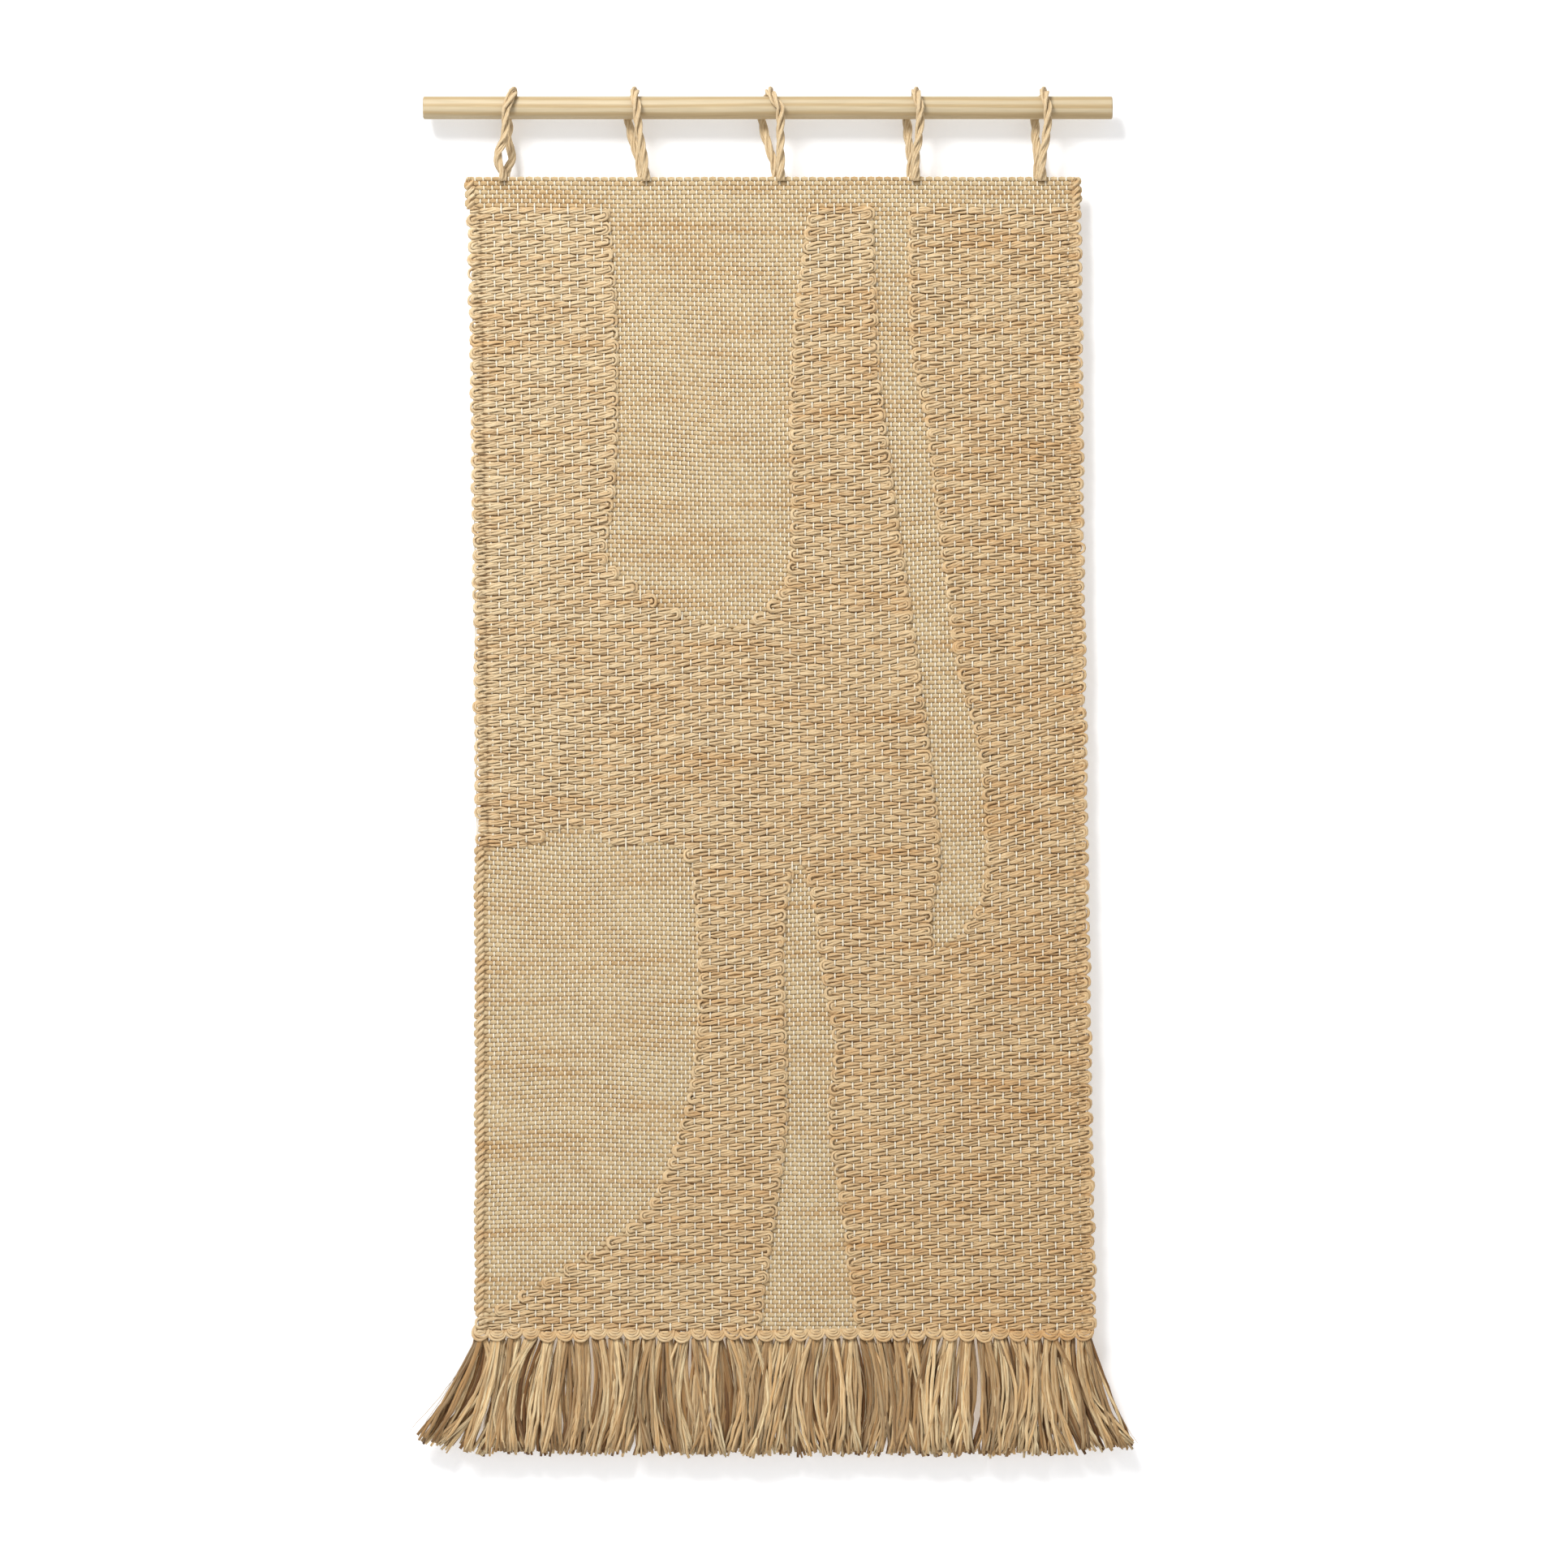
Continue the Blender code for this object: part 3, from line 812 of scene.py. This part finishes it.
def binding(side, top, bottom, seed):
    """The strands of the rope that binds one stretch of an edge."""
    edge = panel_left + binding_inset if side == "left" else panel_right - binding_inset
    count = max(int((top - bottom) / binding_turn * binding_steps), 4)
    height = np.linspace(top, bottom, count)
    twist = 2 * math.pi * height / binding_turn
    strands = []
    for ply in range(2):
        ply_turn = twist + math.pi * ply + 0.3 * wander(70 * height, seed + ply)
        for strand in range(3):
            turn = ply_turn * 0.5 + 2 * math.pi * strand / 3
            loose = 1 + 0.15 * wander(160 * height, seed + 4 * ply + strand)
            x = edge + binding_ply_offset * np.cos(ply_turn)
            x += binding_strand_offset * loose * np.cos(turn)
            y = binding_ply_offset * np.sin(ply_turn)
            y += binding_strand_offset * loose * np.sin(turn)
            places = np.column_stack((x, binding_flatness * y - binding_proud, height))
            strands.append((places, 1 + 0.14 * wander(130 * height, seed + 2 * strand + ply)))
    return strands


for side, inner in (("left", field_left), ("right", field_right)):
    near_edge = inner + (beside_edge if side == "left" else -beside_edge)
    curled = np.array([
        any(
            left < near_edge < right
            for name in relief_fields for left, right in spans_across(name, height)
        )
        for height in relief_heights
    ])
    bound = [(panel_top - 0.001, relief_heights[curled][0] + relief_pitch / 3)]
    bare = np.flatnonzero(~curled)
    bare = bare[bare > np.flatnonzero(curled)[0]]
    if len(bare):
        reach = relief_pitch / 2
        bound.append((relief_heights[bare[0]] + reach, relief_heights[bare[-1]] - reach))
    runs = [(points, curl_fullness * swell) for points, swell in edge_runs[side]]
    for index, (top, bottom) in enumerate(bound):
        runs += binding(side, top, bottom, 31 * index + 301)
    runs = [(hung(points), swell) for points, swell in runs]
    piece = yarn_piece(
        f"selvedge_{side}_curls", runs, strand_thickness, strand_sides, relief_jute,
        "panel",
    )
    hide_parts(f"selvedge_{side}")


# ------------------------------------ the knot row
# Four warp ends at a time are wrapped below the last weft with soft jute, whose four plies show
# as a small swag in front. Each knot holds the head of one tassel.

tassel_names = sorted(name for name in frame["nodes"] if name.startswith("fringe_tassel"))
tassel_count = len(tassel_names)
tassel_pitch = panel_width / tassel_count
fringe_shift = 0.0050
swag_half_width = 0.0068
swag_drop = 0.0070
swag_strand = 0.0025
swag_plies = 4
swag_lift = 0.0030
back_wrap_depth = 0.0022
dice = np.random.default_rng(19)


def stray(spread):
    """A small chance amount, as one piece of handwork differs from the next."""
    return dice.normal(0, spread)


tassel_heads = panel_left + (np.arange(tassel_count) + 0.5) * tassel_pitch + fringe_shift
knot_runs = []
for index, head in enumerate(tassel_heads):
    lift = stray(0.0009)
    askew = stray(0.13)
    width = swag_half_width * dice.uniform(0.94, 1.08)
    for ply in range(swag_plies):
        turn = np.radians(np.linspace(-55, 235, 17))
        reach = width * (1.04 - 0.22 * ply)
        drop = swag_drop * (1 - 0.36 * ply)
        x = head - reach * np.cos(turn) + stray(0.0003)
        tilt = askew * (1 - 1.6 * (ply % 2))
        z = panel_bottom + swag_lift + lift - drop * np.sin(turn) + tilt * (x - head)
        y = -0.0022 - 0.0012 * np.sin(turn).clip(0) - 0.0004 * ply
        y += 0.0045 * np.clip(0.3 - np.sin(turn), 0, 1)
        swell = 1 + 0.14 * wander(400 * x, index + ply)
        knot_runs.append((np.column_stack((x, y, z)), swell))
    back_turn = np.radians(np.linspace(0, 180, 9))
    x = head - 0.9 * width * np.cos(back_turn)
    z = panel_bottom + 0.0004 + lift - 0.8 * swag_drop * np.sin(back_turn)
    y = np.full(len(x), back_wrap_depth)
    knot_runs.append((np.column_stack((x, y, z)), np.ones(len(x))))
knot_wraps = yarn_piece(
    "knot_wraps", knot_runs, swag_strand, 8, relief_jute, "fringe"
)
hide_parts("knot_row")


# ------------------------------------ the tassels
# The fringe is loose unspun jute, about a hand long and cut almost straight. It fans out at
# the two sides, leans and crosses in the middle, and sheds a few fine hairs.

# The near-black Shade colour is what the deep strands mix toward: painted shade in the fringe's
# gaps.
fringe_jute = fibre_material(
    "fringe_jute", (0.080, 0.026, 0.005), (0.60, 0.305, 0.088), (1.0, 0.84, 0.52),
    drift=7, strand=26, contrast=0.66, streak=(1, 1, 1), amount=0.0, bump=1.0,
)
locks_per_tassel = 5
strands_per_lock = 3
deep_shade_strands = 6
back_strands = 6
tassel_hairs = 3
hair_tone = 1.2
tassel_strand = 0.0029
hair_thickness = 0.00045
tassel_length = 0.1010
lock_half_width = 0.0054
tassel_root_drop = 0.0032
shortest_fall = 0.05
strand_points = 12
drop_share = np.linspace(0, 1, strand_points)
taper = np.interp(drop_share, (0, 0.08, 0.25, 0.85, 1), (0.75, 0.92, 1.0, 1.0, 0.72))
tassel_at = np.arange(tassel_count)
skirts = [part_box(name) for name in tassel_names]
tassel_reach = np.array([low[0] + high[0] for low, high in skirts])
tassel_reach -= 2 * (tassel_heads - fringe_shift)
tassel_reach += 0.008 * np.sin(0.55 * tassel_at + 0.9) + 0.005 * np.sin(1.3 * tassel_at)


def tassel_strand_run(head, place, reach, bow, layer, length, seed):
    """One strand, from where it leaves the knot to where it is cut."""
    root_height = panel_bottom - tassel_root_drop
    fall = math.sqrt(max(length ** 2 - reach ** 2, shortest_fall ** 2))
    sideways = reach * drop_share ** 1.15 + bow * np.sin(math.pi * drop_share)
    sideways += 0.0016 * drop_share * wander(8 * drop_share, seed)
    x = head + lock_half_width * place * (0.90 + 0.25 * drop_share) + sideways
    y = 0.0006 + layer * (0.0026 + 0.0028 * drop_share)
    y += 0.0005 * wander(7 * drop_share, seed + 9)
    z = root_height + 0.002 * (1 - place ** 2) - fall * drop_share
    return np.column_stack((x, y, z))


for index, name in enumerate(tassel_names):
    head = tassel_heads[index]
    bow = 0.008 * math.sin(0.8 * index + 2.0)
    strands = []
    for lock in range(locks_per_tassel):
        lock_place = 2 * (lock + 0.5) / locks_per_tassel - 1 + stray(0.08)
        fan = np.interp(index + 0.55 * lock_place, tassel_at, tassel_reach)
        lock_reach = fan + stray(0.0062)
        lock_bow = bow + stray(0.0052)
        lock_layer = dice.uniform(-1, 0.35)
        # A lock's tone differs at random, and a lock that lies further back is darkened as painted
        # shade.
        lock_tone_and_shade = 0.56 + 1.00 * dice.uniform() - 0.35 * max(lock_layer, 0)
        lock_length = tassel_length + stray(0.0016)
        for strand in range(strands_per_lock):
            aside = strand - (strands_per_lock - 1) / 2
            strands.append((
                lock_place + 0.24 * aside, lock_reach + 0.0011 * aside + stray(0.0012),
                lock_bow + stray(0.0010), lock_layer + 0.25 * dice.uniform(-1, 1),
                lock_length + stray(0.0008), lock_tone_and_shade + 0.20 * dice.uniform(-1, 1),
                dice.uniform(0.78, 1.25),
            ))
    # The deep strands are mixed well toward the near-black Shade, as painted shade in the gaps
    # between the front locks. The back strands keep nearly their own colour.
    for layer, tone, count in ((0.35, 0.35, deep_shade_strands), (0.85, 0.95, back_strands)):
        for strand in range(count):
            place = 2.5 * (strand + 0.5) / count - 1.25
            fan = np.interp(index + 0.55 * place, tassel_at, tassel_reach)
            strands.append((
                place, fan + stray(0.0030), bow + stray(0.0026),
                layer + dice.uniform(-0.15, 0.15), tassel_length + stray(0.0018),
                tone + dice.uniform(-0.20, 0.20), dice.uniform(1.0, 1.35),
            ))
    for _ in range(tassel_hairs):
        strands.append((
            dice.uniform(-1, 1), tassel_reach[index] + stray(0.0080),
            bow + stray(0.0070), dice.uniform(-1, 0), tassel_length - 0.0010, hair_tone,
            hair_thickness / tassel_strand,
        ))
    runs = []
    for seed, (place, reach, own_bow, layer, length, _, fatness) in enumerate(strands):
        line = tassel_strand_run(head, place, reach, own_bow, layer, length, 40 * index + seed)
        runs.append((line, fatness * taper))
    number = name[-2:]
    piece = yarn_piece(
        f"tassel_strands_{number}", runs, tassel_strand, strand_sides, fringe_jute,
        f"tassel_{number}", tones=[strand[5] for strand in strands],
    )
    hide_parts(name)


# ------------------------------------ the hanging loops
# Five short lengths of three-ply jute cord go over the dowel, and both ends of each are sewn
# into the heading. None hangs square: each leans, twists or gapes in its own way.

loop_cord = fibre_material(
    "loop_cord", (0.44, 0.28, 0.13), (0.64, 0.46, 0.25), (0.84, 0.70, 0.47),
    drift=40, strand=140, contrast=0.7, streak=(1, 1, 1), amount=0.0, bump=0.8,
)
loop_clearance = 0.0003
loop_cord_radius = 0.0041
ply_count = 3
strands_per_ply = 3
ply_offset = 0.0021
ply_strand_offset = 0.0010
ply_strand = 0.0026
ply_turn_per_metre = 135
loop_ring = dowel_radius + loop_clearance + loop_cord_radius
sewn_depth = 0.0035
loop_foot = panel_top - sewn_depth
foot_depth = 0.0030
foot_apart = 0.0016
loop_shapes = (
    {"base": -0.0041, "front": 0.002, "crown": 0.008, "back": 0.004, "gape": 0.0048},
    {"base": 0.0007, "front": -0.0057, "crown": -0.0078, "back": -0.0137, "gape": 0.0},
    {"base": 0.0012, "front": 0.0014, "crown": -0.0078, "back": -0.0144, "gape": 0.0},
    {"base": 0.0017, "front": 0.0057, "crown": 0.0021, "back": -0.0049, "gape": 0.0008},
    {"base": -0.0049, "front": 0.0064, "crown": 0.0036, "back": -0.0035, "gape": 0.0010},
)


def loop_line(base, shape):
    """A loop's middle line: up its front leg, over the dowel and down its back leg."""
    reach_angle = math.asin(loop_ring / abs(loop_foot))
    leg_steps = np.linspace(0, 1, 22)
    tangent = np.array((loop_ring * math.cos(reach_angle), -loop_ring * math.sin(reach_angle)))
    foot = np.array((foot_depth, loop_foot))
    leg = foot + leg_steps[:, None] * (tangent - foot)
    ease = leg_steps ** 2 * (3 - 2 * leg_steps)
    gape = shape["gape"] * np.sin(math.pi * np.clip(1.7 * leg_steps - 0.1, 0, 1)) ** 2
    apart = foot_apart * (1 - ease) * (1 if shape["gape"] > 0.002 else -1)
    front = np.column_stack((base + shape["front"] * ease - gape - apart, -leg[:, 0], leg[:, 1]))
    back = np.column_stack((base + shape["back"] * ease + gape + apart, leg[:, 0], leg[:, 1]))
    turn = np.linspace(math.pi + reach_angle, -reach_angle, 26)[1:-1]
    share = np.linspace(-1, 1, len(turn))
    arch = shape["crown"] * (1 - share ** 2) + share ** 2 * np.where(
        share < 0, shape["front"], shape["back"]
    )
    ring = np.column_stack((base + arch, loop_ring * np.cos(turn), loop_ring * np.sin(turn)))
    return np.concatenate((front, ring, back[::-1]))


def loop_strands(line, number):
    """The strands of a loop's plies, each ply twisted about the line and each strand about it."""
    tangents = np.gradient(line, axis=0)
    tangents /= np.linalg.norm(tangents, axis=1)[:, None]
    side = np.cross(tangents, (1.0, 0.0, 0.0))
    side /= np.linalg.norm(side, axis=1)[:, None]
    other = np.cross(tangents, side)
    travelled = np.append(0, np.cumsum(np.linalg.norm(np.diff(line, axis=0), axis=1)))
    runs = []
    for ply in range(ply_count):
        angle = 2 * math.pi * ply / ply_count + ply_turn_per_metre * travelled
        angle += 0.35 * wander(50 * travelled, number + ply)
        ply_line = line + ply_offset * (
            side * np.cos(angle)[:, None] + other * np.sin(angle)[:, None]
        )
        for strand in range(strands_per_ply):
            own = 2 * math.pi * strand / strands_per_ply + 0.4 * angle + strand
            strand_line = ply_line + ply_strand_offset * (
                side * np.cos(own)[:, None] + other * np.sin(own)[:, None]
            )
            swell = 1 + 0.12 * wander(90 * travelled, 7 * number + 3 * ply + strand)
            runs.append((strand_line, swell))
    return runs


sewn_at = {joint["name"]: joint["pos_m"][0] for joint in frame["joints"]}
for number, shape in enumerate(loop_shapes, 1):
    line = loop_line(sewn_at[f"loop_{number}_lean"] + shape["base"], shape)
    piece = yarn_piece(
        f"loop_cord_{number}", loop_strands(line, number), ply_strand, strand_sides, loop_cord,
        f"loop_{number}",
    )
    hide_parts(f"hanging_loop_{number}")


# ------------------------------------ the room and the light
# A plain white wall close behind the dowel and a pale floor below. The wall shows only from
# its front, so that the back of the hanging can be seen.

wall_gap = 0.0207
wall_middle = -0.1
floor_height = -1.70
white = (1, 1, 1, 1)

wall_form = bmesh.new()
bmesh.ops.create_grid(wall_form, x_segments=1, y_segments=1, size=1.6)
bmesh.ops.rotate(wall_form, verts=wall_form.verts, cent=(0, 0, 0), matrix=upright)
bmesh.ops.translate(wall_form, vec=(0, wall_gap, wall_middle), verts=wall_form.verts)
wall = object_from(wall_form, "wall")
plaster, plaster_nodes, plaster_link, plaster_shader = new_material("white_plaster", 0.9)
plaster_shader.inputs["Base Color"].default_value = (0.90, 0.90, 0.91, 1)
plaster_shader.inputs["Specular IOR Level"].default_value = 0.0
plaster_shader.inputs["Emission Color"].default_value = white
plaster_shader.inputs["Emission Strength"].default_value = 0.19
see_through = node(plaster_nodes, "BsdfTransparent")
light_path = node(plaster_nodes, "LightPath")
facing = node(plaster_nodes, "NewGeometry")
from_front = node(plaster_nodes, "Math", operation="SUBTRACT", use_clamp=True)
choose = node(plaster_nodes, "MixShader")
plaster_link(light_path.outputs["Is Camera Ray"], from_front.inputs[0])
plaster_link(facing.outputs["Backfacing"], from_front.inputs[1])
plaster_link(from_front.outputs[0], choose.inputs[0])
plaster_link(see_through.outputs[0], choose.inputs[1])
plaster_link(plaster_shader.outputs[0], choose.inputs[2])
plaster_link(choose.outputs[0], plaster_nodes["Material Output"].inputs["Surface"])
wall.data.materials.append(plaster)

floor_form = bmesh.new()
bmesh.ops.create_grid(floor_form, x_segments=1, y_segments=1, size=40)
bmesh.ops.translate(floor_form, vec=(0, 0, floor_height), verts=floor_form.verts)
floor = object_from(floor_form, "floor")
floor_paint, floor_nodes, floor_link, floor_shader = new_material("pale_floor", 0.8)
floor_shader.inputs["Base Color"].default_value = (0.86, 0.86, 0.86, 1)
floor_shader.inputs["Emission Color"].default_value = white
floor_path = node(floor_nodes, "LightPath")
floor_glow = node(floor_nodes, "Math", operation="MULTIPLY")
floor_glow.inputs[1].default_value = 0.42
floor_link(floor_path.outputs["Is Camera Ray"], floor_glow.inputs[0])
floor_link(floor_glow.outputs[0], floor_shader.inputs["Emission Strength"])
floor.data.materials.append(floor_paint)

world = bpy.data.worlds.new("studio")
world.use_nodes = True
world_nodes = world.node_tree.nodes
world_link = world.node_tree.links.new
soft_light = world_nodes["Background"]
soft_light.inputs["Color"].default_value = white
soft_light.inputs["Strength"].default_value = 0.62
backdrop = node(world_nodes, "Background", Color=white)
world_path = node(world_nodes, "LightPath")
world_mix = node(world_nodes, "MixShader")
world_link(world_path.outputs["Is Camera Ray"], world_mix.inputs[0])
world_link(soft_light.outputs[0], world_mix.inputs[1])
world_link(backdrop.outputs[0], world_mix.inputs[2])
world_link(world_mix.outputs[0], world_nodes["World Output"].inputs["Surface"])
bpy.context.scene.world = world
bpy.context.scene.view_settings.view_transform = "Standard"


def square_lamp(name, energy, size, place):
    """A soft square lamp, turned to the middle of the hanging."""
    light = bpy.data.lights.new(name, "AREA")
    light.energy = energy
    light.size = size
    lamp = placed(name, light)
    lamp.location = place
    towards = Vector((0, 0, -0.55)) - lamp.location
    lamp.rotation_euler = towards.to_track_quat("-Z", "Y").to_euler()


square_lamp("key", energy=155, size=1.3, place=(-1.3, -2.6, 2.2))
square_lamp("back_fill", energy=55, size=2.0, place=(1.8, 2.8, 0.9))


# ------------------------------------ the camera
# A long lens, square on to the cloth, from far enough away that its sides stay straight and
# the whole hanging is seen with a margin of wall round it.

view_width = 1.365
view_across = 0.0141
view_height = -0.5887
camera_data = bpy.data.cameras.new("camera")
camera_data.lens = 160
camera_data.sensor_width = 36
view_distance = view_width * camera_data.lens / camera_data.sensor_width
camera = placed("camera", camera_data)
camera.location = (view_across, -view_distance, view_height)
camera.rotation_euler = (math.pi / 2, 0, 0)
bpy.context.scene.camera = camera
